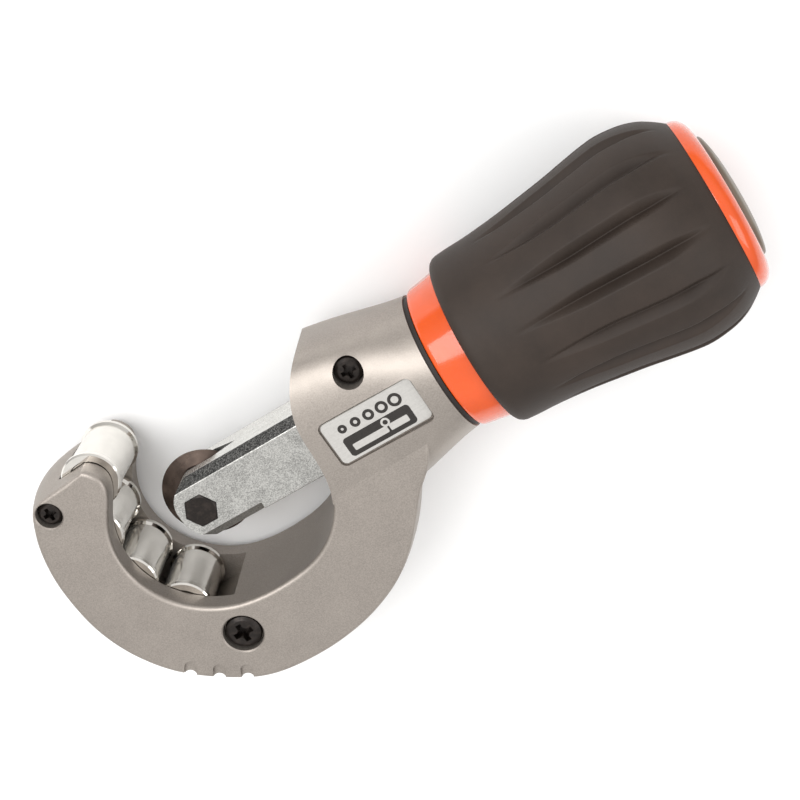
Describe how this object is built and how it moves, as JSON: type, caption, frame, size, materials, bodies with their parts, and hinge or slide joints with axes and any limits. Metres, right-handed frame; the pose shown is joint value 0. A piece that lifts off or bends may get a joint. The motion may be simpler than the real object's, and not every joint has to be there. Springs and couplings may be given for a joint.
{
  "type": "tube cutter",
  "caption": "Telescopic tube cutter with a C-shaped jaw, chrome rollers, a screw-fed slider carrying the cutting wheel, and a fluted turning handle.",
  "frame": {"origin": "on the feed screw's axis, at the centre of the roller circle, half way through the frame's thickness", "axes": "+X along the feed screw from the jaw to the handle, +Y to the open side of the jaw, +Z square to the frame's side face, out of the side that carries the screws and the badge"},
  "size_m": [0.1738, 0.0712, 0.0492],
  "materials": {
    "cast_frame": "satin metallic grey with a fine grain",
    "roller_chrome": "polished",
    "pin_steel": "ground",
    "black_screw": "black oxide",
    "badge": "fine grained, pale",
    "seal_rubber": "matte black",
    "spring_steel": "blued",
    "zinc_plate": "zinc plated, faint spangle",
    "wheel_steel": "dark hardened",
    "bronze": "machined",
    "screw_steel": "machined",
    "handle_orange": "glossy",
    "grip_rubber": "soft matte",
    "cap_plastic": "satin",
    "hub_plastic": "matte"
  },
  "bodies": {
    "frame": {"frame": "cast_frame", "roller_pins": "pin_steel", "tip_screw": "black_screw", "lower_screw": "black_screw", "stop_screw": "black_screw", "badge_plate": "badge", "seal_ring": "seal_rubber", "retaining_clip": "spring_steel"},
    "roller_1": {"roller_1": "roller_chrome"},
    "roller_2": {"roller_2": "roller_chrome"},
    "roller_3": {"roller_3": "roller_chrome"},
    "roller_4": {"roller_4": "roller_chrome"},
    "slider": {"slider": "zinc_plate", "wheel_bolt": "black_screw", "spindle_nut": "bronze"},
    "wheel": {"cutting_wheel": "wheel_steel"},
    "handle": {"spindle": "screw_steel", "spindle_hub": "hub_plastic", "hub_pin": "pin_steel", "handle_core": "handle_orange", "grip": "grip_rubber", "end_ring": "handle_orange"},
    "cap": {"end_cap": "cap_plastic", "spare_wheel": "wheel_steel"}
  },
  "joints": [
    {"name": "roller_1_spin", "type": "hinge", "parent": "frame", "child": "roller_1", "pos_m": [-0.01611, 0.01939, 0], "axis": [0, 0, 1], "continuous": true},
    {"name": "roller_2_spin", "type": "hinge", "parent": "frame", "child": "roller_2", "pos_m": [-0.02421, 0.00783, 0], "axis": [0, 0, 1], "continuous": true},
    {"name": "roller_3_spin", "type": "hinge", "parent": "frame", "child": "roller_3", "pos_m": [-0.02494, -0.00626, 0], "axis": [0, 0, 1], "continuous": true},
    {"name": "roller_4_spin", "type": "hinge", "parent": "frame", "child": "roller_4", "pos_m": [-0.0181, -0.0186, 0], "axis": [0, 0, 1], "continuous": true},
    {"name": "handle_turn", "type": "hinge", "parent": "frame", "child": "handle", "pos_m": [0.0631, 0, 0], "axis": [1, 0, 0], "range_deg": [-810, 4590]},
    {"name": "slider_feed", "type": "slide", "parent": "frame", "child": "slider", "axis": [1, 0, 0], "range_m": [-0.00451, 0.02551]},
    {"name": "wheel_spin", "type": "hinge", "parent": "slider", "child": "wheel", "pos_m": [0.0008, 0.0004, 0], "axis": [0, 0, 1], "continuous": true},
    {"name": "cap_pull", "type": "slide", "parent": "handle", "child": "cap", "axis": [1, 0, 0], "range_m": [0, 0.03]}
  ],
  "couplings": [
    {"joint": "slider_feed", "follows": "handle_turn", "m_per_rad": 0.00031831}
  ]
}
